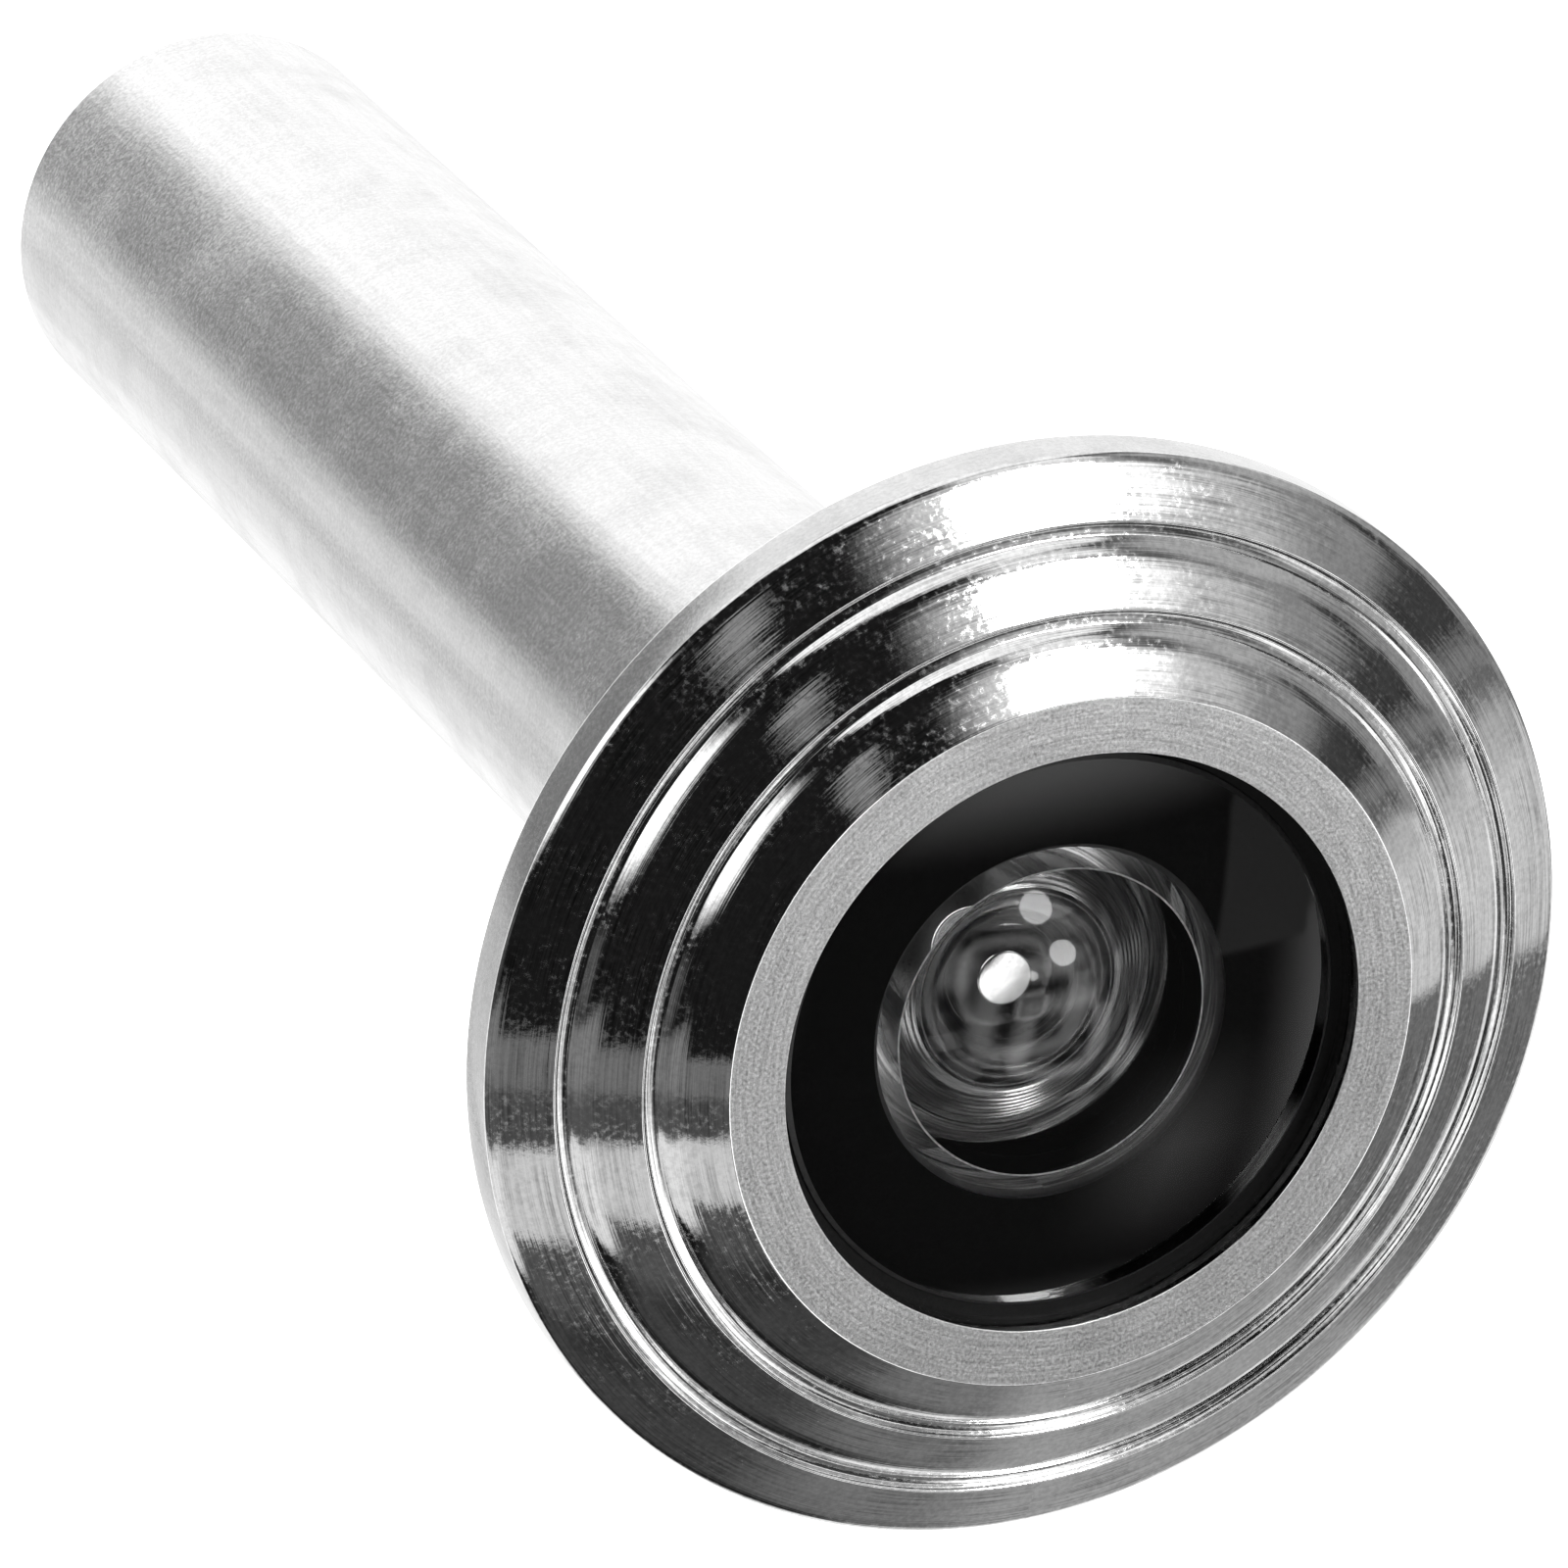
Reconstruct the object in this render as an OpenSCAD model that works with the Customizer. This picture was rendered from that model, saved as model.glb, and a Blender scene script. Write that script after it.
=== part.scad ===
// Door viewer, outside half with its eyepiece tube screwed in.
// Everything is turned about one axis. The axis runs along +Y, from the street side to the room
// side, and y = 0 is the back of the flange, where it sits on the door.

/* [Flange] */
// Outer diameter of the stepped flange
flange_d = 35.5; // [34:0.5:38]
// Thickness of the flange from its front face to its seat
flange_t = 5.0; // [4.8:0.1:5.6]
// Diameter of the flat ring around the lens
face_d = 22.5; // [22:0.1:23]
// Diameter of the opening that shows the front lens
opening_d = 18.9; // [18.6:0.1:19.2]
// Slope of the three cones, measured from the face
cone_deg = 29; // [27:0.5:30]
// Diameter of the first crest
crest_1_d = 27.1; // [26.9:0.1:27.3]
// Diameter of the second crest
crest_2_d = 31.8; // [31.6:0.1:32]
// Radius of the hollow cove in front of each crest
cove_r = 0.5; // [0.45:0.01:0.6]
// Chamfer at the back edge of the rim
rim_chamfer = 0.15; // [0.1:0.05:0.3]
// Depth of the lens pocket behind the front face
pocket_depth = 3.5; // [3.4:0.05:3.6]

/* [Barrel] */
// Outer diameter of the smooth sleeve
barrel_d = 14; // [14:0.1:14.2]
// Length of the sleeve behind the flange
barrel_l = 68; // [66:1:90]
// Inner diameter of the sleeve
barrel_bore_d = 12.2; // [12.2:0.05:12.3]
// Diameter of the threaded spigot that holds the sleeve in the flange
spigot_d = 13.5; // [13.3:0.1:13.6]
// Chamfer at the open end of the sleeve
barrel_chamfer = 0.25; // [0.1:0.05:0.4]

/* [Front lens] */
// Diameter of the front lens
objective_d = 18.1; // [18:0.05:18.2]
// Radius of its bulged front
objective_front_r = 52; // [48:1:80]
// Distance from the flange face back to the middle of the lens
objective_set_back = 0.15; // [0.1:0.05:0.3]
// Thickness in the middle of the lens
objective_mid_t = 0.7; // [0.6:0.05:0.8]
// Width of the hollow in the back of the lens
objective_hollow_d = 9.8; // [9.6:0.1:10]
// Distance from the flange face back to the flat back of the lens
objective_back = 2.6; // [2.5:0.05:2.7]
// Inner diameter of the black mask behind the lens
mask_bore_d = 11.4; // [11.2:0.1:11.5]

/* [Eyepiece] */
// Length of the threaded eyepiece tube
eyepiece_l = 23; // [20:1:26]
// Thread pitch of the eyepiece tube
thread_pitch = 1.0; // [1:0.25:1.5]
// Depth of the thread
thread_depth = 0.4; // [0.3:0.05:0.45]
// Running gap between the thread and the sleeve, on the radius
thread_gap = 0.08; // [0.05:0.01:0.1]
// How far the eyepiece tube ends inside the sleeve
eyepiece_recess = 0.3; // [0.2:0.1:0.6]
// Width of the slots for a coin or a pin spanner
slot_w = 1.6; // [1.2:0.1:2]

/* [Hidden] */
$fn = 96;

// Small fits: pieces of one body touch, pieces that turn past each other keep a running gap
slide_gap = 0.05;
cut = 0.5;

// Flange
flange_r = flange_d / 2;
face_r = face_d / 2;
opening_r = opening_d / 2;
front_y = -flange_t;
cove_half_deg = 46;
cove_chord_deg = 21;
cove_chord = 2 * cove_r * sin(cove_half_deg);
cove_w = cove_chord * cos(cove_chord_deg);
cove_drop = cove_chord * sin(cove_chord_deg);
crest_r = [crest_1_d / 2, crest_2_d / 2];
crease_r = [for (r = crest_r) r - cove_w];
crest_1_y = front_y + (crease_r[0] - face_r) * tan(cone_deg) + cove_drop;
crest_2_y = crest_1_y + (crease_r[1] - crest_r[0]) * tan(cone_deg) + cove_drop;
crest_y = [crest_1_y, crest_2_y];
rim_y = crest_2_y + (flange_r - crest_r[1]) * tan(cone_deg);
edge_break = 0.08;
pocket_y = front_y + pocket_depth;

// Gasket groove in the seat
gasket_in_r = 10.5;
gasket_out_r = 14.5;
gasket_t = 0.6;

// Barrel
barrel_r = barrel_d / 2;
bore_r = barrel_bore_d / 2;
spigot_r = spigot_d / 2;

// Front lens, its seal and its mask
objective_r = objective_d / 2;
objective_hollow_r = objective_hollow_d / 2;
objective_front_y = front_y + objective_set_back;
objective_back_y = front_y + objective_back;
objective_hollow_y = objective_front_y + objective_mid_t;
objective_bevel = 0.15;
seal_front_y = front_y + 1.15;
mask_t = 0.2;
mask_back_y = objective_back_y + mask_t;

// Front cell: a flanged black cup that holds the second and third lenses
cell_head_r = 9.2;
cell_wall_r = bore_r - 0.02;
cell_front_bore_r = 5.5;
cell_back_bore_r = 4.7;
cell_shoulder_r = 3.9;
cell_shoulder_t = 0.8;
cell_end_y = 9;
second_r = 5.45;
second_front_y = front_y + 3.4;
second_front_bulge_r = 15;
second_mid_t = 0.7;
second_hollow_r = 3.7;
second_back_y = 1.3;
cell_back_y = second_back_y + cell_shoulder_t;
third_r = 4.65;
third_spacer_t = 1.2;
third_y = cell_back_y + third_spacer_t;
third_t = 1.8;
third_front_hollow = [3.4, 0.3];
third_back_bulge = [1.7, 0.16];
stop_y = third_y + third_t;
stop_t = 0.4;
stop_hole_r = 1.8;
preload_r = 0.45;
preload_y = stop_y + stop_t;
lock_y = preload_y + 2 * preload_r;
lock_t = 1.4;
lock_bore_r = 3.4;

// Eyepiece tube and its stack
eyepiece_end_y = barrel_l - eyepiece_recess;
eyepiece_start_y = eyepiece_end_y - eyepiece_l;
thread_crest_r = bore_r - thread_gap;
thread_root_r = thread_crest_r - thread_depth;
thread_plain_l = 1.2;
thread_turns = floor((eyepiece_l - 2 * thread_plain_l) / thread_pitch);
eyepiece_bore_r = 5.0;
eyepiece_shoulder_r = 4.6;
eyepiece_shoulder_t = 1.0;
field_stop_y = eyepiece_start_y + 2 + eyepiece_shoulder_t;
field_stop_t = 0.4;
field_stop_hole_r = 4.3;
eye_stack_r = eyepiece_bore_r - slide_gap;
field_lens_y = field_stop_y + field_stop_t;
field_lens_edge_t = 1.0;
field_lens_bulge = 0.9;
eye_lens_y = field_lens_y + 10.5;
eye_lens_edge_t = 1.2;
eye_lens_bulge = 0.9;
eye_seal_r = 0.4;
eye_seal_mid_r = eye_stack_r - eye_seal_r;
eye_seal_gap = 0.05;
eye_lens_back_y = eye_lens_y + eye_lens_edge_t;
eye_seal_y = eye_lens_back_y + cap_rise(eye_stack_r, eye_lens_bulge, eye_seal_mid_r) + eye_seal_gap;
spacer_bore_r = 4.4;
spacer_y = field_lens_y + field_lens_edge_t + cap_rise(eye_stack_r, field_lens_bulge, spacer_bore_r);
spacer_end_y = eye_lens_y - cap_rise(eye_stack_r, eye_lens_bulge, spacer_bore_r);
eye_lock_y = eye_seal_y + 2 * eye_seal_r;
eye_lock_t = 1.8;
eye_lock_bore_r = 3.9;
coin_slot_depth = 1.2;
lock_slot_depth = 0.7;

// Radius of the ball whose cap is as wide as rim and as deep as sag
function ball_r(rim, sag) = (rim * rim + sag * sag) / (2 * sag);

// Height of that cap above its rim, at a smaller radius
function cap_rise(rim, sag, r) =
    sqrt(pow(ball_r(rim, sag), 2) - r * r) - ball_r(rim, sag) + sag;

// Turns a profile of [radius, y] points about the Y axis
module turned(points) {
    rotate([-90, 0, 0]) rotate_extrude() polygon(points);
}

// A plain ring or tube
module ring(in_r, out_r, y0, y1) {
    turned([[in_r, y0], [out_r, y0], [out_r, y1], [in_r, y1]]);
}

// A round cord closed into a ring
module o_ring(mid_r, cord_r, y0) {
    rotate([-90, 0, 0]) rotate_extrude() translate([mid_r, y0 + cord_r]) circle(cord_r);
}

module ball(radius, y) {
    translate([0, y, 0]) rotate([-90, 0, 0]) sphere(radius);
}

// A solid disc of glass with flat faces, to be cut by balls
module glass_disc(radius, y0, y1) {
    translate([0, y0, 0]) rotate([-90, 0, 0]) cylinder(r = radius, h = y1 - y0);
}

// A bar across the axis, for the slots that a coin or a pin spanner turns
module slot_bar(reach, y0, y1) {
    translate([-reach, y0, -slot_w / 2]) cube([2 * reach, y1 - y0, slot_w]);
}

// The hollow in front of one crest: a round groove whose middle lies clear of the metal
module cove(i) {
    mid_r = crest_r[i] - cove_w / 2;
    mid_y = crest_y[i] - cove_drop / 2;
    lift = cove_r * cos(cove_half_deg);
    centre_r = mid_r + lift * sin(cove_chord_deg);
    centre_y = mid_y - lift * cos(cove_chord_deg);
    rotate([-90, 0, 0]) rotate_extrude() translate([centre_r, centre_y]) circle(cove_r);
}

// Stepped flange: a flat ring, three cones, a hollow cove before each crest, and a plain rim
module front_flange() {
    color("silver") difference() {
        turned([
            [opening_r + edge_break, front_y], [face_r, front_y],
            [crease_r[0], crest_y[0] - cove_drop], [crest_r[0], crest_y[0]],
            [crease_r[1], crest_y[1] - cove_drop], [crest_r[1], crest_y[1]],
            [flange_r - edge_break, rim_y - edge_break * tan(cone_deg)], [flange_r, rim_y + edge_break],
            [flange_r, -rim_chamfer], [flange_r - rim_chamfer, 0],
            [spigot_r, 0], [spigot_r, pocket_y],
            [opening_r, pocket_y], [opening_r, front_y + edge_break]
        ]);
        cove(0);
        cove(1);
        ring(gasket_in_r, gasket_out_r, -gasket_t, cut);
    }
}

// Front lens: bulged front, bevelled rim, flat back with a deep hollow
module objective_lens() {
    hollow_ball_r = ball_r(objective_hollow_r, objective_back_y - objective_hollow_y);
    edge_y = objective_front_y + objective_front_r
        - sqrt(pow(objective_front_r, 2) - pow(objective_r, 2));
    color([0.75, 0.8, 0.82, 0.4]) difference() {
        intersection() {
            turned([
                [0, front_y - cut], [objective_r - objective_bevel - cut, front_y - cut],
                [objective_r - objective_bevel, edge_y], [objective_r, edge_y + objective_bevel],
                [objective_r, objective_back_y], [0, objective_back_y]
            ]);
            ball(objective_front_r, objective_front_y + objective_front_r);
        }
        ball(hollow_ball_r, objective_hollow_y + hollow_ball_r);
    }
}

// Soft black ring that fills the gap between the lens rim and the pocket wall
module objective_seal() {
    color([0.05, 0.05, 0.05]) ring(objective_r, opening_r, seal_front_y, objective_back_y);
}

// Thin black washer behind the flat back of the front lens
module objective_mask() {
    color([0.03, 0.03, 0.03]) ring(mask_bore_d / 2, opening_r, objective_back_y, mask_back_y);
}

// Rubber ring set flush in the seat of the flange
module flange_gasket() {
    color([0.1, 0.1, 0.1]) ring(gasket_in_r, gasket_out_r, -gasket_t, 0);
}

// Smooth sleeve that passes through the door
module barrel_sleeve() {
    color("gainsboro") turned([
        [bore_r, pocket_y], [spigot_r, pocket_y], [spigot_r, 0], [barrel_r, 0],
        [barrel_r, barrel_l - barrel_chamfer], [barrel_r - barrel_chamfer, barrel_l],
        [bore_r + barrel_chamfer, barrel_l], [bore_r, barrel_l - barrel_chamfer]
    ]);
}

// Black cup: its head fills the pocket behind the mask and its tube stands in the sleeve
module front_cell() {
    color([0.08, 0.08, 0.08]) turned([
        [cell_front_bore_r, mask_back_y], [cell_head_r, mask_back_y], [cell_head_r, pocket_y],
        [cell_wall_r, pocket_y], [cell_wall_r, cell_end_y], [cell_back_bore_r, cell_end_y],
        [cell_back_bore_r, cell_back_y], [cell_shoulder_r, cell_back_y],
        [cell_shoulder_r, second_back_y], [cell_front_bore_r, second_back_y]
    ]);
}

// Second lens: bulged front and a steep hollow in the back
module second_lens() {
    sag = second_back_y - second_front_y - second_mid_t;
    hollow_ball_r = ball_r(second_hollow_r, sag);
    color([0.75, 0.8, 0.82, 0.4]) difference() {
        intersection() {
            glass_disc(second_r, second_front_y - cut, second_back_y);
            ball(second_front_bulge_r, second_front_y + second_front_bulge_r);
        }
        ball(hollow_ball_r, second_back_y - sag + hollow_ball_r);
    }
}

module second_lens_spacer() {
    color([0.15, 0.15, 0.15]) ring(cell_shoulder_r, third_r, cell_back_y, third_y);
}

// Third lens: hollow in front, with a small raised middle that stands in the hole of the stop
module third_lens() {
    front_ball_r = ball_r(third_front_hollow[0], third_front_hollow[1]);
    bulge_ball_r = ball_r(third_back_bulge[0], third_back_bulge[1]);
    bulge_tip_y = stop_y + third_back_bulge[1];
    color([0.75, 0.8, 0.82, 0.4]) {
        difference() {
            glass_disc(third_r, third_y, stop_y);
            ball(front_ball_r, third_y + third_front_hollow[1] - front_ball_r);
        }
        intersection() {
            glass_disc(third_r, stop_y - cut, bulge_tip_y + cut);
            ball(bulge_ball_r, bulge_tip_y - bulge_ball_r);
        }
    }
}

// Thin disc with a round hole, blackened
module aperture_stop() {
    color([0.06, 0.06, 0.06]) ring(stop_hole_r, third_r, stop_y, stop_y + stop_t);
}

// Rubber ring that presses the lens stack forward
module cell_preload_ring() {
    color([0.12, 0.12, 0.12]) o_ring(third_r - preload_r - slide_gap, preload_r, preload_y);
}

// Screwed ring with two slots, behind the lens stack
module cell_lock_ring() {
    color([0.2, 0.2, 0.2]) difference() {
        ring(lock_bore_r, cell_back_bore_r - slide_gap, lock_y, lock_y + lock_t);
        slot_bar(cell_back_bore_r + cut, lock_y + lock_t - lock_slot_depth, lock_y + lock_t + cut);
    }
}

// One V-shaped turn of the thread, as a groove between two crests
module thread_groove(y) {
    turned([
        [thread_crest_r + cut / 5, y - thread_pitch * 0.48], [thread_crest_r, y - thread_pitch * 0.42],
        [thread_root_r, y - thread_pitch * 0.08], [thread_root_r, y + thread_pitch * 0.08],
        [thread_crest_r, y + thread_pitch * 0.42], [thread_crest_r + cut / 5, y + thread_pitch * 0.48]
    ]);
}

// Threaded tube that carries the eyepiece lenses, with a coin slot across its open end
module eyepiece_barrel() {
    color("darkgray") difference() {
        turned([
            [eyepiece_shoulder_r, eyepiece_start_y],
            [thread_crest_r - barrel_chamfer, eyepiece_start_y],
            [thread_crest_r, eyepiece_start_y + barrel_chamfer],
            [thread_crest_r, eyepiece_end_y - barrel_chamfer],
            [thread_crest_r - barrel_chamfer, eyepiece_end_y],
            [eyepiece_bore_r, eyepiece_end_y],
            [eyepiece_bore_r, field_stop_y], [eyepiece_shoulder_r, field_stop_y]
        ]);
        for (i = [0.5 : thread_turns - 0.5])
            thread_groove(eyepiece_start_y + thread_plain_l + i * thread_pitch);
        slot_bar(bore_r + cut, eyepiece_end_y - coin_slot_depth, eyepiece_end_y + cut);
    }
}

// Blackened washer at the image plane
module field_stop() {
    color([0.06, 0.06, 0.06])
        ring(field_stop_hole_r, eye_stack_r, field_stop_y, field_stop_y + field_stop_t);
}

// Field lens: flat towards the door, bulged towards the eye
module field_lens() {
    r = ball_r(eye_stack_r, field_lens_bulge);
    top_y = field_lens_y + field_lens_edge_t + field_lens_bulge;
    color([0.75, 0.8, 0.82, 0.4]) intersection() {
        glass_disc(eye_stack_r, field_lens_y, top_y + cut);
        ball(r, top_y - r);
    }
}

module eyepiece_spacer() {
    color([0.15, 0.15, 0.15]) ring(spacer_bore_r, eye_stack_r, spacer_y, spacer_end_y);
}

// Eye lens: bulged on both sides
module eye_lens() {
    r = ball_r(eye_stack_r, eye_lens_bulge);
    color([0.75, 0.8, 0.82, 0.4]) intersection() {
        glass_disc(eye_stack_r, eye_lens_y - eye_lens_bulge - cut, eye_lens_back_y + eye_lens_bulge + cut);
        ball(r, eye_lens_y - eye_lens_bulge + r);
        ball(r, eye_lens_back_y + eye_lens_bulge - r);
    }
}

module eye_lens_seal() {
    color([0.12, 0.12, 0.12]) o_ring(eye_seal_mid_r, eye_seal_r, eye_seal_y);
}

// Screwed ring with two slots that keeps the eye lens in
module eyepiece_lock_ring() {
    color([0.2, 0.2, 0.2]) difference() {
        ring(eye_lock_bore_r, eyepiece_bore_r, eye_lock_y, eye_lock_y + eye_lock_t);
        rotate([0, 90, 0])
            slot_bar(eyepiece_bore_r + cut, eye_lock_y + eye_lock_t - lock_slot_depth, eye_lock_y + eye_lock_t + cut);
    }
}

front_flange();
objective_lens();
objective_seal();
objective_mask();
flange_gasket();
barrel_sleeve();
front_cell();
second_lens();
second_lens_spacer();
third_lens();
aperture_stop();
cell_preload_ring();
cell_lock_ring();
eyepiece_barrel();
field_stop();
field_lens();
eyepiece_spacer();
eye_lens();
eye_lens_seal();
eyepiece_lock_ring();
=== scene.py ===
import math

import bmesh
import bpy
from mathutils import Matrix, Vector


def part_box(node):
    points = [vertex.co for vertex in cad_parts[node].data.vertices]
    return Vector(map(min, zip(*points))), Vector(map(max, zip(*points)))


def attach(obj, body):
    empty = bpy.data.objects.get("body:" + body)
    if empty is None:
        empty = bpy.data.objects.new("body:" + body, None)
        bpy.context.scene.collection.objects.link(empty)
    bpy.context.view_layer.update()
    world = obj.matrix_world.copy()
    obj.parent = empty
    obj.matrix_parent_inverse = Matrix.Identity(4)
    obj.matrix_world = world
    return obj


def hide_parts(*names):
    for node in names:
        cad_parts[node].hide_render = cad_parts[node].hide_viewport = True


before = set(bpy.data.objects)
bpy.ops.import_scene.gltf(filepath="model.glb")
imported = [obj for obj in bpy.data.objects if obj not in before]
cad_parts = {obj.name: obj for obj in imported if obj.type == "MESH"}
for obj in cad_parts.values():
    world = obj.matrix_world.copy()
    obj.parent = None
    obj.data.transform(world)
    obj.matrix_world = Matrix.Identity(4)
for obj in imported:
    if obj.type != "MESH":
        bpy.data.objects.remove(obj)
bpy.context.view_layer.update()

MM = 0.001
SHELL_SIDES = 384        # steps round the flange and the sleeve
LENS_SIDES = 192         # steps round the lenses
ON_AXIS_R = 1e-6         # mm; a profile point nearer the axis than this becomes one vertex
EDGE_SOFTNESS = 0.05     # mm of profile on each side of an edge that is rounded away

# ---------------------------------------------------------------- places read from the frame


def span(node):
    """(lowest y, highest y, outer radius) of a turned CAD node, in millimetres."""
    low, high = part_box(node)
    return low.y / MM, high.y / MM, high.x / MM


FRONT_Y, SEAT_Y, FLANGE_R = span("front_flange")
SPIGOT_Y, SLEEVE_END_Y, SLEEVE_R = span("barrel_sleeve")
LENS_FRONT_Y, LENS_BACK_Y, LENS_R = span("objective_lens")

# ---------------------------------------------------------------- profiles


def blend(a, b, t):
    """The point t of the way from a to b."""
    return a[0] + (b[0] - a[0]) * t, a[1] + (b[1] - a[1]) * t


def bend(a, corner, b, steps):
    """Points on the curve that leaves a towards corner and reaches b from it."""
    shares = [k / steps for k in range(steps + 1)]
    return [blend(blend(a, corner, t), blend(corner, b, t), t) for t in shares]


def walk(path, start, step, reach):
    """The point that lies reach along a closed path from corner start, and the corners passed."""
    here, passed, i = path[start], [], start
    while True:
        i = (i + step) % len(path)
        there = path[i]
        gap = math.dist(here[:2], there[:2])
        if gap >= reach:
            return blend(here, there, reach / gap), passed
        passed.append(i)
        reach -= gap
        here = there


def soften(path, steps=6):
    """Rounds each corner of a closed path of (radius, y, reach, band) by a curve of that reach."""
    gone, curves = set(), {}
    for i, (r, y, reach, _) in enumerate(path):
        if reach > 0:
            a, before = walk(path, i, -1, reach)
            b, after = walk(path, i, 1, reach)
            gone.update(before)
            gone.update(after)
            curves[i] = bend(a, (r, y), b, steps)
    out = []
    for i, (r, y, _, band) in enumerate(path):
        if i in curves:
            for k, (curve_r, curve_y) in enumerate(curves[i]):
                out.append((curve_r, curve_y, path[i - 1][3] if k < steps // 2 else band))
        elif i not in gone:
            out.append((r, y, band))
    return out


def turned(name, node, path, materials, sides, sharp_deg=28):
    """A solid turned about Y from a closed path, in place of a CAD node of the outside half."""
    profile = soften(path)
    verts, faces, bands, rings = [], [], [], []
    on_axis = set()
    for i, (r, y, _) in enumerate(profile):
        if r < ON_AXIS_R:
            on_axis.add(i)
            rings.append([len(verts)] * sides)
            verts.append((0.0, y * MM, 0.0))
            continue
        rings.append(range(len(verts), len(verts) + sides))
        for k in range(sides):
            a = 2 * math.pi * k / sides
            verts.append((r * math.sin(a) * MM, y * MM, r * math.cos(a) * MM))
    for i in range(len(profile)):
        j = (i + 1) % len(profile)
        if i in on_axis and j in on_axis:
            continue
        for k in range(sides):
            m = (k + 1) % sides
            corners = [rings[i][k], rings[i][m], rings[j][m], rings[j][k]]
            faces.append(list(dict.fromkeys(corners)))
            bands.append(profile[i][2])
    mesh = bpy.data.meshes.new(name)
    mesh.from_pydata(verts, [], faces)
    mesh.polygons.foreach_set("material_index", bands)
    mesh.polygons.foreach_set("use_smooth", [True] * len(faces))
    for material in materials:
        mesh.materials.append(material)
    work = bmesh.new()
    work.from_mesh(mesh)
    bmesh.ops.recalc_face_normals(work, faces=work.faces)
    work.to_mesh(mesh)
    work.free()
    mesh.set_sharp_from_angle(angle=math.radians(sharp_deg))
    piece = bpy.data.objects.new(name, mesh)
    bpy.context.scene.collection.objects.link(piece)
    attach(piece, "outside_half")
    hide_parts(node)


# ---------------------------------------------------------------- material helpers

LINES_ALONG_AXIS = 1.37  # how much closer lathe lines lie along the axis than across a face
PLATE_GREY, BARREL_GREY = 0.82, 0.86   # base greys, before the marks are added
PLATE_LINES_MM, RING_LINES_MM, SHINE_LINES_MM = 13.0, 9.0, 12.0   # fine lathe lines per mm


def add_node(tree, kind, inputs=None, **settings):
    """A new node; an input given as a socket is linked, and any other value is set."""
    made = tree.nodes.new(kind)
    for key, value in settings.items():
        setattr(made, key, value)
    for key, value in (inputs or {}).items():
        if isinstance(value, bpy.types.NodeSocket):
            tree.links.new(value, made.inputs[key])
        else:
            made.inputs[key].default_value = value
    return made


class Shader:
    """A material whose nodes are added one call at a time."""

    def __init__(self, name, **values):
        self.material = bpy.data.materials.new(name)
        self.material.use_nodes = True
        self.tree = self.material.node_tree
        self.main = self.tree.nodes["Principled BSDF"]
        for socket, value in values.items():
            self.main.inputs[socket.replace("_", " ")].default_value = value

    def node(self, kind, inputs=None, **settings):
        return add_node(self.tree, kind, inputs, **settings)

    def math(self, operation, a, b=0.0):
        return self.node("ShaderNodeMath", {0: a, 1: b}, operation=operation).outputs[0]

    def position(self):
        """The place in millimetres, its distance from the axis, its y and its angle round it."""
        here = self.node("ShaderNodeTexCoord").outputs["Object"]
        scaled = self.node("ShaderNodeVectorMath", {0: here, "Scale": 1 / MM}, operation="SCALE")
        mm = scaled.outputs[0]
        x, y, z = self.node("ShaderNodeSeparateXYZ", {0: mm}).outputs
        squares = self.math("ADD", self.math("MULTIPLY", x, x), self.math("MULTIPLY", z, z))
        return mm, self.math("SQRT", squares), y, self.math("ARCTAN2", x, z)

    def vector(self, x, y, z):
        return self.node("ShaderNodeCombineXYZ", {0: x, 1: y, 2: z}).outputs[0]

    def noise(self, vector, scale, detail, roughness=0.55):
        inputs = {"Vector": vector, "Scale": scale, "Detail": detail, "Roughness": roughness}
        return self.node("ShaderNodeTexNoise", inputs).outputs["Fac"]

    def spread(self, value, from_low, from_high, to_low, to_high, smooth=True):
        """Takes value from one range to another, and holds it at the ends."""
        inputs = {"Value": value, "From Min": from_low, "From Max": from_high,
                  "To Min": to_low, "To Max": to_high}
        kind = "SMOOTHSTEP" if smooth else "LINEAR"
        return self.node("ShaderNodeMapRange", inputs, interpolation_type=kind).outputs["Result"]

    def grey(self, value):
        """Drives the base colour with a grey of that value."""
        colour = self.node("ShaderNodeCombineColor", {0: value, 1: value, 2: value}).outputs[0]
        self.tree.links.new(colour, self.main.inputs["Base Color"])

    def drive(self, socket, value):
        self.tree.links.new(value, self.main.inputs[socket])

    def bump(self, height, distance_mm, under=None):
        inputs = {"Height": height, "Distance": distance_mm * MM, "Strength": 1.0}
        if under:
            inputs["Normal"] = under
        return self.node("ShaderNodeBump", inputs).outputs["Normal"]


def lathe_lines(s, radius, y, angle, per_mm, wander):
    """Fine grooves left by turning: they follow the circle and fade in and out along it."""
    along = s.math("MULTIPLY", angle, wander)
    across = s.math("ADD", radius, s.math("MULTIPLY", y, LINES_ALONG_AXIS))
    return s.noise(s.vector(s.math("MULTIPLY", across, per_mm), along, 0.0), 1.0, 2.0, 0.7)


def speck(s, mm, per_mm, size):
    """1 in small round dots scattered in space, 0 elsewhere."""
    cells = s.node("ShaderNodeTexVoronoi", {"Vector": mm, "Scale": per_mm})
    near = s.spread(cells.outputs["Distance"], size * 0.6, size, 1.0, 0.0)
    keep = s.spread(s.noise(mm, 0.9, 2.0), 0.6, 0.64, 0.0, 1.0)
    return s.math("MULTIPLY", near, keep)


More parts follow.
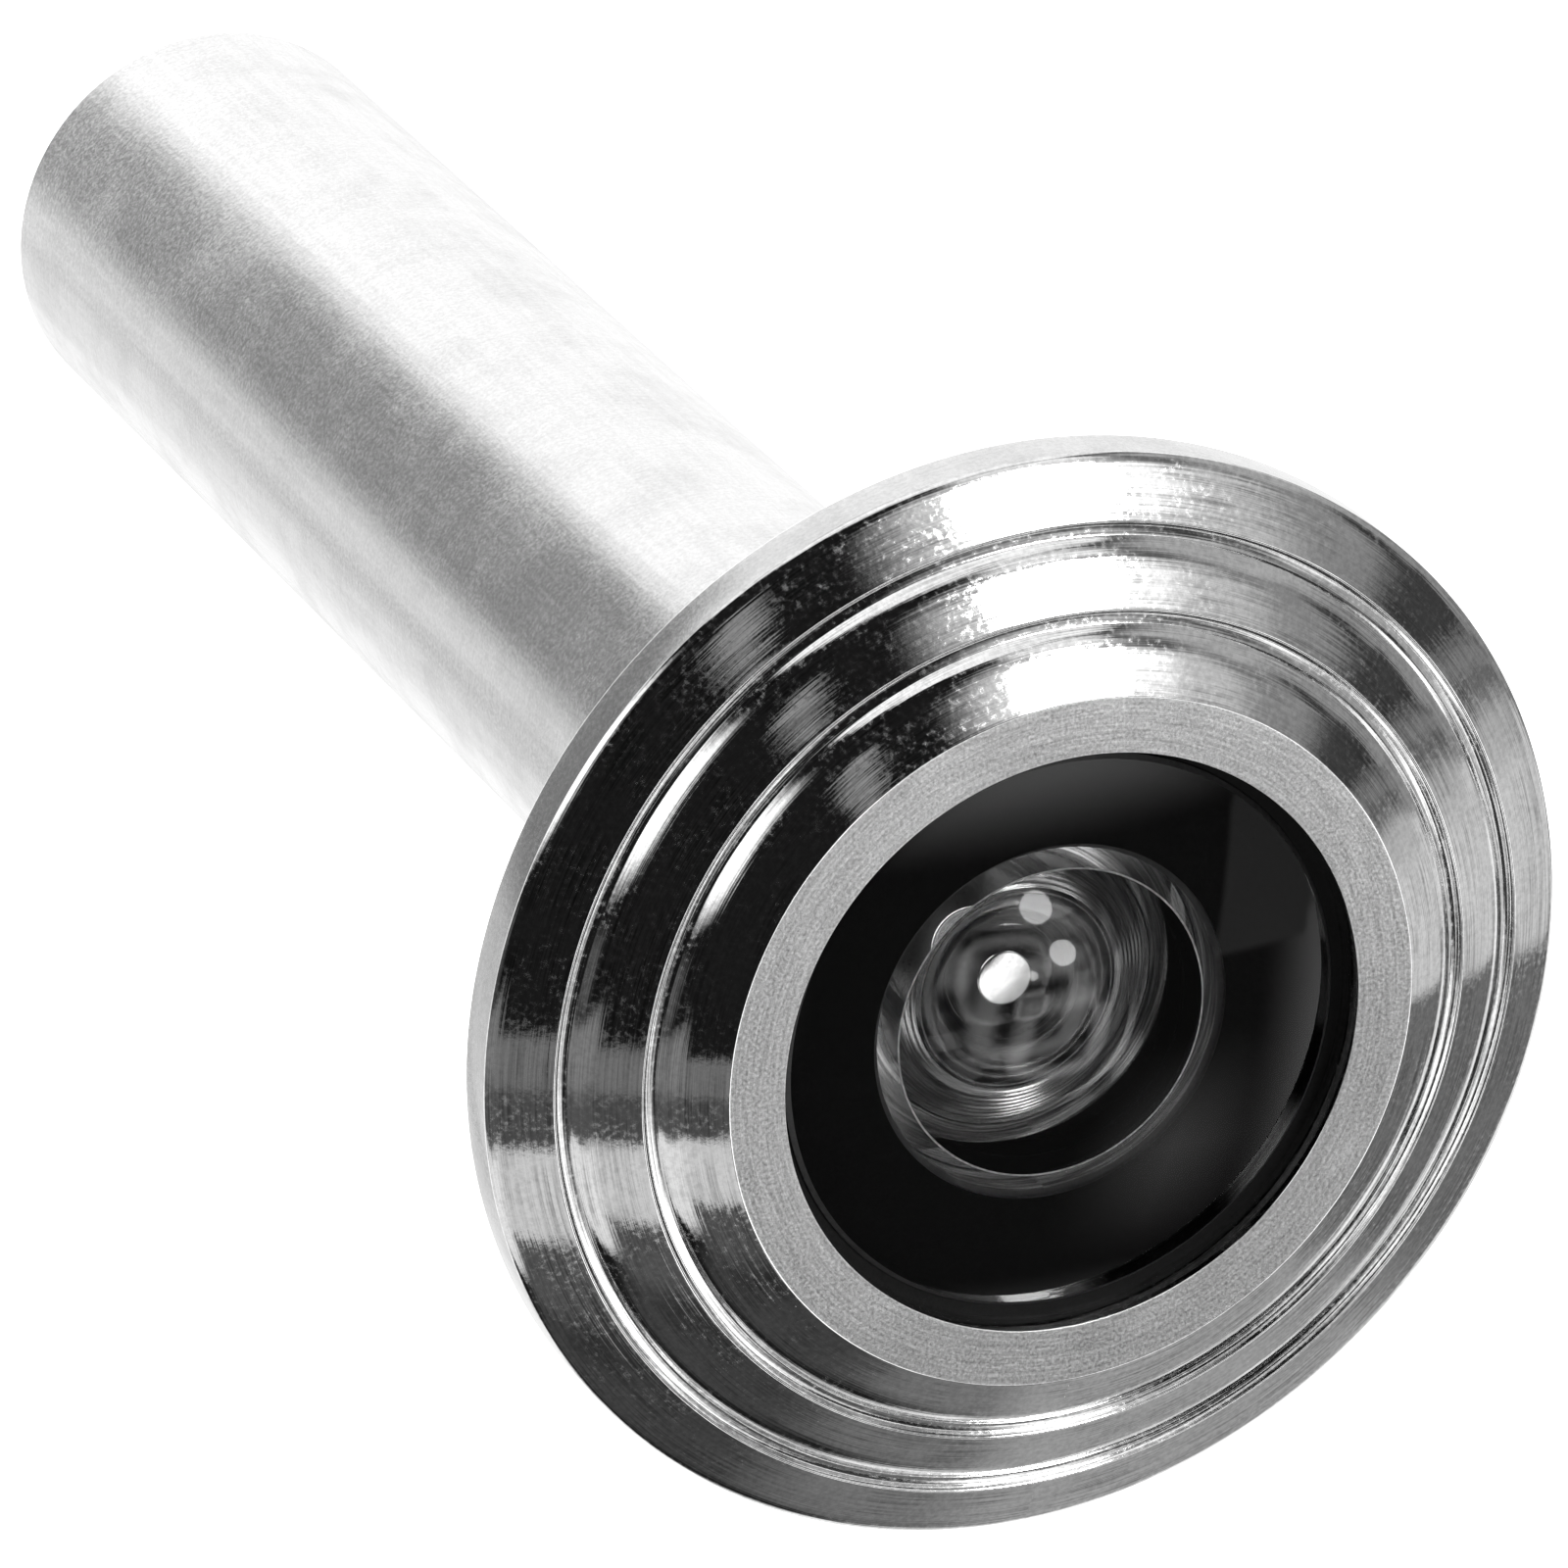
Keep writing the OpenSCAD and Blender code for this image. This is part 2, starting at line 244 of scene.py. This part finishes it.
def bright_plate():
    """Bright plating over lathe lines, with hazy blotches and a little dust."""
    s = Shader("bright_plate")
    mm, radius, y, angle = s.position()
    fine = lathe_lines(s, radius, y, angle, PLATE_LINES_MM, 2.2)
    coarse = lathe_lines(s, radius, y, angle, 2.8, 1.2)
    arcs = lathe_lines(s, radius, y, angle, 4.3, 2.6)
    blotch = s.noise(mm, 5.5, 4.0, 0.6)
    cloud = s.noise(mm, 0.5, 3.0, 0.5)
    lines = s.spread(s.math("ADD", arcs, fine), 0.72, 1.18, -0.42, 0.08)
    mottle = s.spread(blotch, 0.3, 0.7, -0.1, 0.1)
    dimming = s.spread(cloud, 0.35, 0.65, 0.15, 1.0)
    shade = s.math("ADD", s.math("MULTIPLY", lines, dimming), s.math("ADD", mottle, PLATE_GREY))
    dust = speck(s, mm, 1.3, 0.04)
    s.grey(s.math("MULTIPLY", shade, s.spread(dust, 0.0, 1.0, 1.0, 0.4)))
    s.drive("Metallic", s.math("SUBTRACT", 1.0, dust))
    haze = s.spread(blotch, 0.42, 0.7, 0.03, 0.21)
    s.drive("Roughness", s.math("MULTIPLY", haze, s.spread(cloud, 0.35, 0.6, 0.5, 1.0)))
    low = s.bump(fine, 0.0013)
    mid = s.bump(coarse, 0.008, under=low)
    s.drive("Normal", s.bump(blotch, 0.0012, under=mid))
    return s.material


def satin_face():
    """The flat ring round the lens: fine grain, faint clouds, and painted shade that darkens it
    towards the bottom.
    """
    s = Shader("satin_face", Metallic=1.0)
    mm, radius, y, angle = s.position()
    fine = lathe_lines(s, radius, y, angle, RING_LINES_MM, 4.0)
    grain = s.noise(mm, 9.0, 4.0, 0.75)
    s.drive("Roughness", s.spread(grain, 0.3, 0.7, 0.32, 0.46))
    mix = s.math("ADD", s.math("MULTIPLY", fine, 0.35), s.math("MULTIPLY", grain, 0.65))
    cloud = s.spread(s.noise(mm, 0.3, 3.0), 0.35, 0.65, 0.9, 1.0)
    # Painted shade: the grey falls off towards the bottom by the angle round the axis, and the
    # faint clouds vary it at random
    side = s.math("COSINE", s.math("ADD", angle, math.radians(8)))
    dimming = s.math("MULTIPLY", cloud, s.spread(side, -1.0, 1.0, 0.72, 1.0, smooth=False))
    s.grey(s.math("MULTIPLY", s.spread(mix, 0.36, 0.64, 0.45, 1.0, smooth=False), dimming))
    s.drive("Normal", s.bump(grain, 0.012, under=s.bump(fine, 0.005)))
    return s.material


def satin_barrel(name, tone):
    """Satin plating drawn along the axis, with faint stains; tone scales its grey."""
    s = Shader(name, Metallic=1.0)
    mm, radius, y, angle = s.position()
    grain = s.noise(mm, 7.0, 3.0, 0.7)
    cloud = s.noise(mm, 0.3, 5.0, 0.65)
    around = s.math("MULTIPLY", angle, SLEEVE_R)
    drawn = s.vector(s.math("MULTIPLY", around, 2.6), s.math("MULTIPLY", y, 0.09), 0.0)
    draw = s.noise(drawn, 1.0, 3.0, 0.6)
    ring = lathe_lines(s, radius, y, angle, 4.0, 1.5)
    stain = s.spread(cloud, 0.4, 0.68, 0.03, -0.07)
    marks = s.math("ADD", stain, s.spread(draw, 0.35, 0.65, -0.025, 0.025))
    turned_lines = s.spread(ring, 0.35, 0.65, -0.015, 0.015)
    fine = s.math("ADD", s.spread(grain, 0.3, 0.7, -0.06, 0.06), turned_lines)
    shade = s.math("ADD", s.math("ADD", marks, fine), BARREL_GREY)
    s.grey(s.math("MULTIPLY", shade, tone))
    rough = s.spread(grain, 0.3, 0.7, 0.12, 0.2)
    s.drive("Roughness", s.math("ADD", rough, s.spread(cloud, 0.4, 0.7, 0.0, 0.08)))
    s.drive("Normal", s.bump(grain, 0.004, under=s.bump(draw, 0.006)))
    return s.material


def black(name, value, roughness, grain_scale=8.0, gloss=0.5):
    """A dull surface of that grey with a fine grain."""
    s = Shader(name, Specular_IOR_Level=gloss)
    mm = s.position()[0]
    grain = s.noise(mm, grain_scale, 3.0, 0.6)
    s.grey(s.spread(grain, 0.3, 0.7, value * 0.7, value * 1.4))
    s.drive("Roughness", s.spread(grain, 0.3, 0.7, roughness - 0.08, roughness + 0.08))
    s.drive("Normal", s.bump(grain, 0.01))
    return s.material


def lathe_shine(name, low, high, metallic):
    """Ridged metal or ground glass, streaked between two greys."""
    s = Shader(name, Metallic=metallic)
    _, radius, y, angle = s.position()
    fine = lathe_lines(s, radius, y, angle, SHINE_LINES_MM, 1.5)
    s.grey(s.spread(fine, 0.3, 0.7, low, high))
    s.drive("Roughness", s.spread(fine, 0.3, 0.7, 0.14, 0.24))
    s.drive("Normal", s.bump(fine, 0.004))
    return s.material


BRIGHT, FACE = bright_plate(), satin_face()
BARREL, RIM = satin_barrel("satin_barrel", 1.0), satin_barrel("satin_rim", 0.85)
RUBBER = black("black_rubber", 0.02, 0.6)
ANODISED = black("black_anodised", 0.02, 0.35)
PLASTIC = black("black_plastic", 0.015, 0.45)
MASK = black("black_mask", 0.006, 0.6)
GLASS = Shader("lens_glass", Base_Color=(0.98, 0.98, 0.98, 1.0), Roughness=0.0, IOR=1.52,
               Transmission_Weight=1.0).material
GROUND_GLASS = black("ground_glass", 0.4, 0.5)
EDGE_PAINT = black("edge_paint", 0.002, 0.6, gloss=0.02)
BEVEL_GLASS = black("bevel_glass", 0.02, 0.4)
SEAL = black("black_seal", 0.005, 0.6, gloss=0.1)
CELL_SHINE = lathe_shine("cell_shine", 0.2, 0.65, 0.75)
GROUND_EDGE = lathe_shine("ground_edge", 0.03, 0.3, 1.0)

# ---------------------------------------------------------------- flange

FACE_R = 11.25
SPIGOT_R = 6.75
GASKET_IN_R, GASKET_OUT_R, GASKET_DEPTH = 10.5, 14.5, 0.6
RIM_CHAMFER = 0.15
# The last cone bends into the rim wall over this much of its width and this much of the wall
RIM_REACH, RIM_DROP = 0.45, 0.12
OPENING_R = span("objective_seal")[2]
CREST_R = (13.55, 15.9)
CREST_Y = (-3.84, -2.65)
CONE_SLOPE = math.tan(math.radians(29))
# Groove in front of a crest, as (radius, y) steps from the crest: top of its wall, foot of the wall
# and foot of the lip
WALL_TOP, WALL_FOOT, LIP_FOOT = (-0.74, -0.296), (-0.44, 0.1), (-0.14, 0.22)
# The cone bends into that wall from this far out, over this share of the wall
SHOULDER_REACH, SHOULDER_SHARE = 0.6, 0.7
SHOULDER_STEPS, RIM_STEPS = 14, 10
FOOT_SOFTNESS, LIP_SOFTNESS, CREST_SOFTNESS, BACK_SOFTNESS = 0.04, 0.03, 0.07, 0.03
BRIGHT_BAND, FACE_BAND, RIM_BAND = 0, 1, 2


def flange_path():
    """The flange's outline as (radius, y, rounding reach, material band)."""
    path = [
        (OPENING_R, SPIGOT_Y, 0, BRIGHT_BAND),
        (OPENING_R, FRONT_Y, EDGE_SOFTNESS, FACE_BAND),
        (FACE_R, FRONT_Y, EDGE_SOFTNESS, BRIGHT_BAND),
    ]
    for crest_r, crest_y in zip(CREST_R, CREST_Y):
        top = (crest_r + WALL_TOP[0], crest_y + WALL_TOP[1])
        foot = (crest_r + WALL_FOOT[0], crest_y + WALL_FOOT[1])
        start = (top[0] - SHOULDER_REACH, top[1] - SHOULDER_REACH * CONE_SLOPE)
        shoulder = bend(start, top, blend(top, foot, SHOULDER_SHARE), SHOULDER_STEPS)
        path += [(r, y, 0, BRIGHT_BAND) for r, y in shoulder]
        path.append((*foot, FOOT_SOFTNESS, BRIGHT_BAND))
        path.append((crest_r + LIP_FOOT[0], crest_y + LIP_FOOT[1], LIP_SOFTNESS, BRIGHT_BAND))
        path.append((crest_r, crest_y, CREST_SOFTNESS, BRIGHT_BAND))
    rim_y = CREST_Y[-1] + (FLANGE_R - CREST_R[-1]) * CONE_SLOPE
    start = (FLANGE_R - RIM_REACH, rim_y - RIM_REACH * CONE_SLOPE)
    rim = bend(start, (FLANGE_R, rim_y), (FLANGE_R, rim_y + RIM_DROP), RIM_STEPS)
    path += [(r, y, 0, BRIGHT_BAND) for r, y in rim[:-1]]
    path.append((*rim[-1], 0, RIM_BAND))
    path.append((FLANGE_R, SEAT_Y - RIM_CHAMFER, BACK_SOFTNESS, BRIGHT_BAND))
    path.append((FLANGE_R - RIM_CHAMFER, SEAT_Y, BACK_SOFTNESS, RIM_BAND))
    groove_y = SEAT_Y - GASKET_DEPTH
    path += [(r, y, 0, RIM_BAND) for r, y in (
        (GASKET_OUT_R, SEAT_Y), (GASKET_OUT_R, groove_y),
        (GASKET_IN_R, groove_y), (GASKET_IN_R, SEAT_Y),
        (SPIGOT_R, SEAT_Y), (SPIGOT_R, SPIGOT_Y),
    )]
    return path


turned("flange_shell", "front_flange", flange_path(), [BRIGHT, FACE, RIM],
       SHELL_SIDES)

# ---------------------------------------------------------------- sleeve

BORE_R = 6.1
END_CHAMFER, END_SOFTNESS = 0.25, 0.1
SLEEVE_CORNERS = [(BORE_R, SPIGOT_Y), (SPIGOT_R, SPIGOT_Y), (SPIGOT_R, SEAT_Y), (SLEEVE_R, SEAT_Y)]
END_CORNERS = [(SLEEVE_R, SLEEVE_END_Y - END_CHAMFER), (SLEEVE_R - END_CHAMFER, SLEEVE_END_Y),
               (BORE_R + END_CHAMFER, SLEEVE_END_Y), (BORE_R, SLEEVE_END_Y - END_CHAMFER)]
sleeve_path = [(r, y, 0, 0) for r, y in SLEEVE_CORNERS]
sleeve_path += [(r, y, END_SOFTNESS, 0) for r, y in END_CORNERS]
turned("sleeve_tube", "barrel_sleeve", sleeve_path, [BARREL], SHELL_SIDES)

# ---------------------------------------------------------------- lenses

CLEAR, GROUND, SIDE, BEVEL = 0, 1, 2, 3   # material bands
AIR = 0.01             # mm left between glass and what it touches, so that no two faces coincide
RIM_LINE = 0.055       # width of the ground line round a hollow
FRONT_SAG, FRONT_BEVEL = 0.77, 0.15
FRONT_HOLLOW = (4.9, -4.15)
MASK_R = 5.7
SECOND_SAG = 1.02
SECOND_HOLLOW_R, SECOND_HOLLOW_Y = 3.7, 0.7
THIRD_T = 1.8
THIRD_HOLLOW_R, THIRD_HOLLOW_Y = 3.4, 0.3
THIRD_MIDDLE_R, THIRD_MIDDLE_Y = 1.7, 0.16


def cap(rim_r, rim_y, tip_y, steps=24):
    """Points of a ball cap from its rim in to the axis."""
    sag = tip_y - rim_y
    ball_r = (rim_r * rim_r + sag * sag) / (2 * abs(sag))
    half = math.asin(min(1.0, rim_r / ball_r))
    points = []
    for i in range(steps + 1):
        a = half * (1 - i / steps)
        drop = math.copysign(ball_r * (1 - math.cos(a)), sag)
        points.append((ball_r * math.sin(a), tip_y - drop))
    points[-1] = (0.0, tip_y)
    return points


def lens(name, node, outer_r, front, back, edge_front_y, edge_back_y, side, bevel=0.0,
         clear_r=None):
    """A lens whose curved middles, front and back, are given as (rim radius, tip y).

    Its back is like its side from clear_r outwards, and clear glass past the hollow's rim line if
    clear_r is not given.
    """
    rim_r, tip_y = back
    path = [(r, y, 0, CLEAR) for r, y in reversed(cap(rim_r, edge_back_y, tip_y))]
    path[-1] = (*path[-1][:3], GROUND)
    path.append((rim_r + RIM_LINE, edge_back_y, 0, CLEAR))
    if clear_r:
        path.append((clear_r, edge_back_y, 0, SIDE))
    path.append((outer_r, edge_back_y, 0, SIDE))
    if bevel:
        path.append((outer_r, edge_front_y + bevel, 0, BEVEL))
    if front[0] < outer_r - bevel - ON_AXIS_R:
        path.append((outer_r - bevel, edge_front_y, 0, CLEAR))
    path += [(r, y, 0, CLEAR) for r, y in cap(front[0], edge_front_y, front[1])]
    turned(name, node, path, [GLASS, GROUND_GLASS, side, BEVEL_GLASS], LENS_SIDES,
           sharp_deg=15)


front_r = LENS_R - AIR
lens("front_lens", "objective_lens", front_r, (front_r - FRONT_BEVEL, LENS_FRONT_Y), FRONT_HOLLOW,
     LENS_FRONT_Y + FRONT_SAG, LENS_BACK_Y - AIR, EDGE_PAINT, FRONT_BEVEL, MASK_R)
second_low, second_high, second_r = span("second_lens")
lens("inner_lens", "second_lens", second_r, (second_r, second_low),
     (SECOND_HOLLOW_R, second_low + SECOND_HOLLOW_Y),
     second_low + SECOND_SAG, second_high - AIR, GROUND_EDGE)
third_low, _, third_r = span("third_lens")
third_back = third_low + THIRD_T
lens("rear_lens", "third_lens", third_r, (THIRD_HOLLOW_R, third_low + THIRD_HOLLOW_Y),
     (THIRD_MIDDLE_R, third_back + THIRD_MIDDLE_Y), third_low, third_back, EDGE_PAINT)

seal_low, seal_high, seal_r = span("objective_seal")
seal_corners = [(LENS_R, seal_low), (seal_r, seal_low), (seal_r, seal_high), (LENS_R, seal_high)]
turned("seal_ring", "objective_seal", [(r, y, 0, 0) for r, y in seal_corners],
       [SEAL], SHELL_SIDES)

# ---------------------------------------------------------------- front cell

WALL, SHINE = 0, 1     # material bands
RIDGE_PITCH, RIDGE_DEPTH, RIDGE_SLANT = 0.38, 0.15, 0.75
STEP_PITCH, STEP_RISE, STEP_SLANT = 0.2, 0.04, 0.6
CELL_BODY_R, CELL_FRONT_R, CELL_BACK_R = 6.08, 5.5, 4.7
CELL_SHOULDER_R, CELL_SHOULDER_T = 3.9, 0.8
# The ridges start this far in front of the second lens's back and end this far inside the cell
RIDGES_BACK, RIDGES_FRONT = 1.9, 0.1


def ridges(radius, y_from, y_to):
    """Sharp rings round a bore, from one y to another."""
    count = max(1, round(abs(y_to - y_from) / RIDGE_PITCH))
    step = (y_to - y_from) / count
    points = []
    for i in range(count):
        points.append((radius, y_from + i * step, 0, SHINE))
        points.append((radius + RIDGE_DEPTH, y_from + (i + RIDGE_SLANT) * step, 0, SHINE))
    return points


def steps_across(y, r_from, r_to):
    """Sharp rings turned on a flat face, from one radius to another."""
    count = max(1, round(abs(r_to - r_from) / STEP_PITCH))
    step = (r_to - r_from) / count
    points = []
    for i in range(count):
        points.append((r_from + i * step, y, 0, SHINE))
        points.append((r_from + (i + STEP_SLANT) * step, y + STEP_RISE, 0, SHINE))
    return points


cell_low, cell_high, cell_head_r = span("front_cell")
shoulder_y = second_high + CELL_SHOULDER_T
cell_corners = [
    (CELL_FRONT_R, cell_low), (cell_head_r, cell_low), (cell_head_r, SPIGOT_Y),
    (CELL_BODY_R, SPIGOT_Y), (CELL_BODY_R, cell_high),
    (CELL_BACK_R, cell_high), (CELL_BACK_R, shoulder_y),
]
turned("lens_cell", "front_cell",
       [(r, y, 0, WALL) for r, y in cell_corners]
       + [(CELL_SHOULDER_R, shoulder_y, 0, SHINE)]
       + steps_across(second_high, CELL_SHOULDER_R, CELL_FRONT_R)
       + [(CELL_FRONT_R, second_high, 0, WALL)]
       + ridges(CELL_FRONT_R, second_high - RIDGES_BACK, cell_low + RIDGES_FRONT),
       [PLASTIC, CELL_SHINE], LENS_SIDES)

# ---------------------------------------------------------------- CAD nodes that keep their shape

for node, material in {
    "objective_mask": MASK, "flange_gasket": RUBBER,
    "second_lens_spacer": ANODISED, "aperture_stop": ANODISED,
    "cell_preload_ring": RUBBER, "cell_lock_ring": ANODISED,
    "eyepiece_barrel": BRIGHT, "field_stop": ANODISED, "field_lens": GLASS,
    "eyepiece_spacer": ANODISED, "eye_lens": GLASS, "eye_lens_seal": RUBBER,
    "eyepiece_lock_ring": ANODISED,
}.items():
    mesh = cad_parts[node].data
    mesh.materials.clear()
    mesh.materials.append(material)

# ---------------------------------------------------------------- camera

CAMERA_AZIMUTH, CAMERA_ELEVATION = -23.32, 24.25
FOCAL_MM, SENSOR_MM = 289.2, 36.0
# Where the middle of the flange face lies from the camera: right, down and ahead, in millimetres
FACE_RIGHT, FACE_DOWN, FACE_AHEAD = 8.73, 7.83, 378.45


def add_camera():
    a, e = math.radians(CAMERA_AZIMUTH), math.radians(CAMERA_ELEVATION)
    right = Vector((math.cos(a), math.sin(a), 0))
    ahead = Vector((-math.sin(a) * math.cos(e), math.cos(a) * math.cos(e), -math.sin(e)))
    up = right.cross(ahead)
    place = Vector((0, FRONT_Y, 0)) - right * FACE_RIGHT + up * FACE_DOWN - ahead * FACE_AHEAD
    data = bpy.data.cameras.new("camera")
    data.lens, data.sensor_width = FOCAL_MM, SENSOR_MM
    data.clip_start = 0.01
    camera = bpy.data.objects.new("camera", data)
    turn = Matrix((right, up, -ahead)).transposed().to_4x4()
    camera.matrix_world = Matrix.Translation(place * MM) @ turn
    bpy.context.scene.collection.objects.link(camera)
    bpy.context.scene.camera = camera


add_camera()

# ---------------------------------------------------------------- studio

# Soft panels round the object, painted in this order: where each one's middle is (degrees from
# the street side towards +X, then up), half its width, half its height, the width of its soft
# edge, and its brightness
PANELS = [
    (180, 0, 84, 84, 12, 1.07),
    (-146, -12, 17, 15, 16, 0.72),
    (-146, 14, 21, 19, 14, 0.24),
    (-163, -31, 12, 9, 10, 0.85),
    (-158, -26, 2.2, 8, 3, 0.45),
    (116, 3, 9, 26, 5, 0.2),
    (90, 5, 20, 20, 8, 0.3),
    (33, 48, 10, 6.5, 5, 1.0),
    (-66, -41, 22, 9, 3, 0.85),
    (-64, -28, 22, 4.5, 3, 0.1),
    (-64, -18.5, 22, 6, 4, 0.22),
    (-75, 27, 29, 13, 14, 1.7),
    (78, 36, 20, 16, 12, 0.45),
    (-82, -4, 20, 7, 8, 0.1),
    (0, -70, 30, 12, 12, 0.06),
    (25, -27, 36, 31, 14, 2.25),
    (22, -27, 21, 20, 10, 0.06),
    (54, -1, 8, 7, 5, 0.4),
    (36, -34, 3, 3, 10, 0.8),
    (39, -16, 3.5, 5.5, 0.7, 0.3),
    (-11.7, 22.5, 2.7, 5, 1, 0.3),
    (-34, -40, 8, 12, 6, 0.1),
    (-35, -21.5, 8, 3.2, 1.5, 0.19),
    (-35, -28, 8, 3.4, 1.5, 0.085),
    (-35, -36.3, 8, 5.4, 1.2, 0.68),
    (88, -35, 12, 14, 6, 0.17),
    (60, -71, 16, 10, 12, 0.2),
    (93, -60, 14, 13, 8, 0.37),
    (66, 2.5, 9, 4.5, 2, 0.055),
    (73, -5.5, 9, 4, 1, 0.16),
    (72, -4, 9, 1, 0.6, 0.24),
    (82, -18, 13, 9, 1.5, 0.66),
    (74, -10.5, 9, 2.5, 4, 0.5),
    (55, 14, 9, 8, 6, 0.28),
    (45, 21, 7, 9, 8, 0.6),
]
# Round lights: where the middle is, the radius, the width of the soft edge, brightness
LAMPS = [
    (180, 0, 20, 8, 2.4),
    (26, 30, 15, 15, 0.95),
    (36, 27, 6, 9, 1.4),
    (26, 31, 8.5, 3, 26.0),
]
OVERHEAD = 1.1
OVERHEAD_FROM = (0.81, 0.85)   # the ceiling fades in between these heights of a unit direction
BASE = 0.012                   # brightness where there is no panel
AHEAD_MIN = 0.0001


def towards(azimuth, elevation):
    """Unit direction at those degrees."""
    a, e = math.radians(azimuth), math.radians(elevation)
    return Vector((math.sin(a) * math.cos(e), -math.cos(a) * math.cos(e), math.sin(e)))


def add_world():
    """A studio that is plain white to the camera and lights the object by panels and lamps."""
    world = bpy.data.worlds.new("studio")
    bpy.context.scene.world = world
    world.use_nodes = True
    tree = world.node_tree
    tree.nodes.clear()

    def calc(operation, a, b=0.0):
        return add_node(tree, "ShaderNodeMath", {0: a, 1: b}, operation=operation).outputs[0]

    def along_axis(axis):
        inputs = {0: direction, 1: axis}
        made = add_node(tree, "ShaderNodeVectorMath", inputs, operation="DOT_PRODUCT")
        return made.outputs["Value"]

    def ramp(value, low, high, to_low=1.0, to_high=0.0):
        inputs = {"Value": value, "From Min": low, "From Max": high,
                  "To Min": to_low, "To Max": to_high}
        made = add_node(tree, "ShaderNodeMapRange", inputs, interpolation_type="SMOOTHSTEP")
        return made.outputs["Result"]

    def edge(value, middle, soft):
        """1 below middle and 0 above it, with a soft edge; angles in degrees."""
        return ramp(value, math.radians(middle - soft / 2), math.radians(middle + soft / 2))

    def paint(under, mask, value):
        """under where mask is 0, value where it is 1."""
        kept = calc("MULTIPLY", under, calc("SUBTRACT", 1.0, mask))
        return calc("ADD", kept, calc("MULTIPLY", mask, value))

    direction = add_node(tree, "ShaderNodeTexCoord").outputs["Generated"]
    ceiling = ramp(along_axis((0, 0, 1)), *OVERHEAD_FROM, 0.0, 1.0)
    light = paint(BASE, ceiling, OVERHEAD)
    for azimuth, elevation, half_w, half_h, soft, value in PANELS:
        out = towards(azimuth, elevation)
        a = math.radians(azimuth)
        side = Vector((math.cos(a), math.sin(a), 0))
        ahead = calc("MAXIMUM", along_axis(out), AHEAD_MIN)
        across = calc("ABSOLUTE", calc("ARCTAN2", along_axis(side), ahead))
        upward = calc("ABSOLUTE", calc("ARCTAN2", along_axis(out.cross(side)), ahead))
        mask = calc("MULTIPLY", edge(across, half_w, soft), edge(upward, half_h, soft))
        light = paint(light, mask, value)
    for azimuth, elevation, radius, soft, value in LAMPS:
        off = calc("ARCCOSINE", along_axis(towards(azimuth, elevation)))
        light = paint(light, edge(off, radius, soft), value)
    seen = add_node(tree, "ShaderNodeLightPath").outputs["Is Camera Ray"]
    shown = {"Color": (1, 1, 1, 1), "Strength": paint(light, seen, 1.0)}
    background = add_node(tree, "ShaderNodeBackground", shown)
    output = add_node(tree, "ShaderNodeOutputWorld")
    tree.links.new(background.outputs[0], output.inputs["Surface"])


add_world()

FLOOR_DROP, FLOOR_HALF = 0.12, 1.5


def add_floor():
    """A pale floor for the camera only, so that it adds no reflection to the metal or the glass."""
    mesh = bpy.data.meshes.new("floor")
    signs = ((-1, -1), (1, -1), (1, 1), (-1, 1))
    corners = [(x * FLOOR_HALF, y * FLOOR_HALF, -FLOOR_DROP) for x, y in signs]
    mesh.from_pydata(corners, [], [(0, 1, 2, 3)])
    s = Shader("pale_floor", Base_Color=(0.9, 0.9, 0.9, 1.0), Roughness=0.9, Emission_Strength=0.75)
    s.main.inputs["Emission Color"].default_value = (1.0, 1.0, 1.0, 1.0)
    mesh.materials.append(s.material)
    floor = bpy.data.objects.new("floor", mesh)
    floor.visible_glossy = False
    floor.visible_diffuse = False
    floor.visible_transmission = False
    bpy.context.scene.collection.objects.link(floor)


add_floor()

bpy.context.scene.view_settings.view_transform = "Standard"
